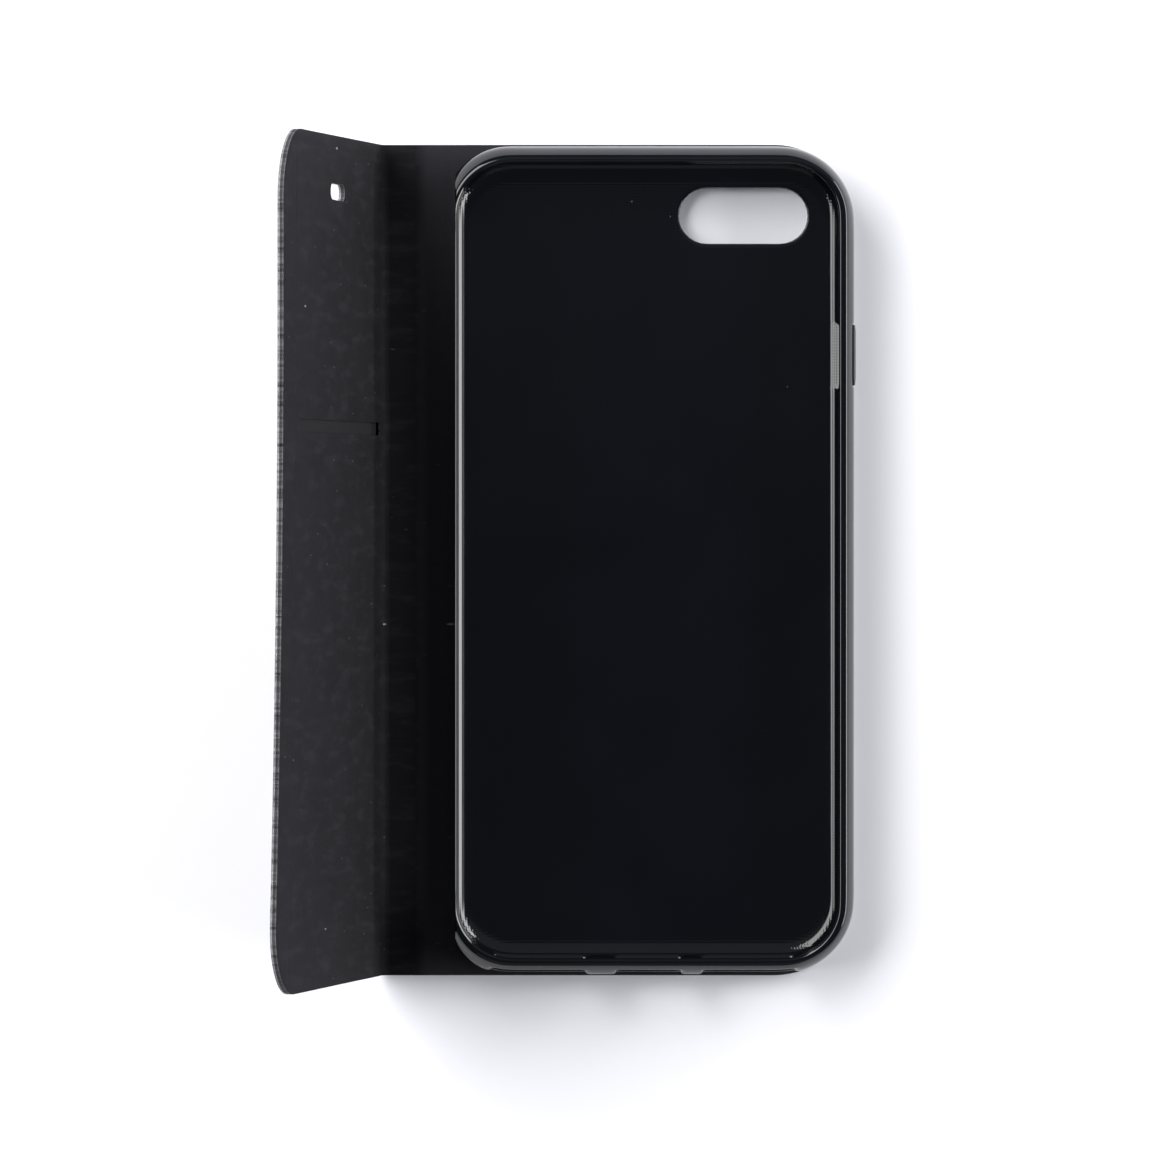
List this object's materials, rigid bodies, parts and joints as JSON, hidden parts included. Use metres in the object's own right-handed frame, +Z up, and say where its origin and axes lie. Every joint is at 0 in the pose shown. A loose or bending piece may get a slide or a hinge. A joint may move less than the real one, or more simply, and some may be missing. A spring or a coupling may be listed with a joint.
{
  "type": "phone wallet case",
  "caption": "Folio case for a small phone: a glossy moulded shell on a soft cover, whose folding spine and front flap with a card pocket close over the screen.",
  "frame": {"origin": "on the table, under the middle of the case's box as it lies open with its flap standing", "axes": "+X from the flap across the shell, +Y towards the top of the phone, +Z up from the table out of the shell's open side"},
  "size_m": [0.0972, 0.1426, 0.0691],
  "materials": {
    "moulded_shell": "high gloss",
    "leather": "fine grain",
    "lining": "matte",
    "board": "raw cut",
    "film": "satin",
    "tape": "satin"
  },
  "bodies": {
    "body": {"back_leather": "leather", "back_board": "board", "back_lining": "lining", "shell_tape": "tape", "tpu_shell": "moulded_shell"},
    "button": {"power_button": "moulded_shell"},
    "spine": {"spine_leather": "leather", "spine_board": "board", "spine_lining": "lining"},
    "flap": {"flap_leather": "leather", "flap_board": "board", "pocket_film": "film", "flap_lining": "lining"}
  },
  "joints": [
    {"name": "spine_fold", "type": "hinge", "parent": "body", "child": "spine", "pos_m": [-0.02116, 0, 0.0006], "axis": [0, 1, 0], "range_deg": [-90, 90]},
    {"name": "flap_fold", "type": "hinge", "parent": "spine", "child": "flap", "pos_m": [-0.03326, 0, 0.0006], "axis": [0, 1, 0], "range_deg": [-167.8, 13.2]},
    {"name": "button_press", "type": "slide", "parent": "body", "child": "button", "axis": [-1, 0, 0], "range_m": [0, 0.0004], "stiffness_N_per_m": 2500}
  ]
}
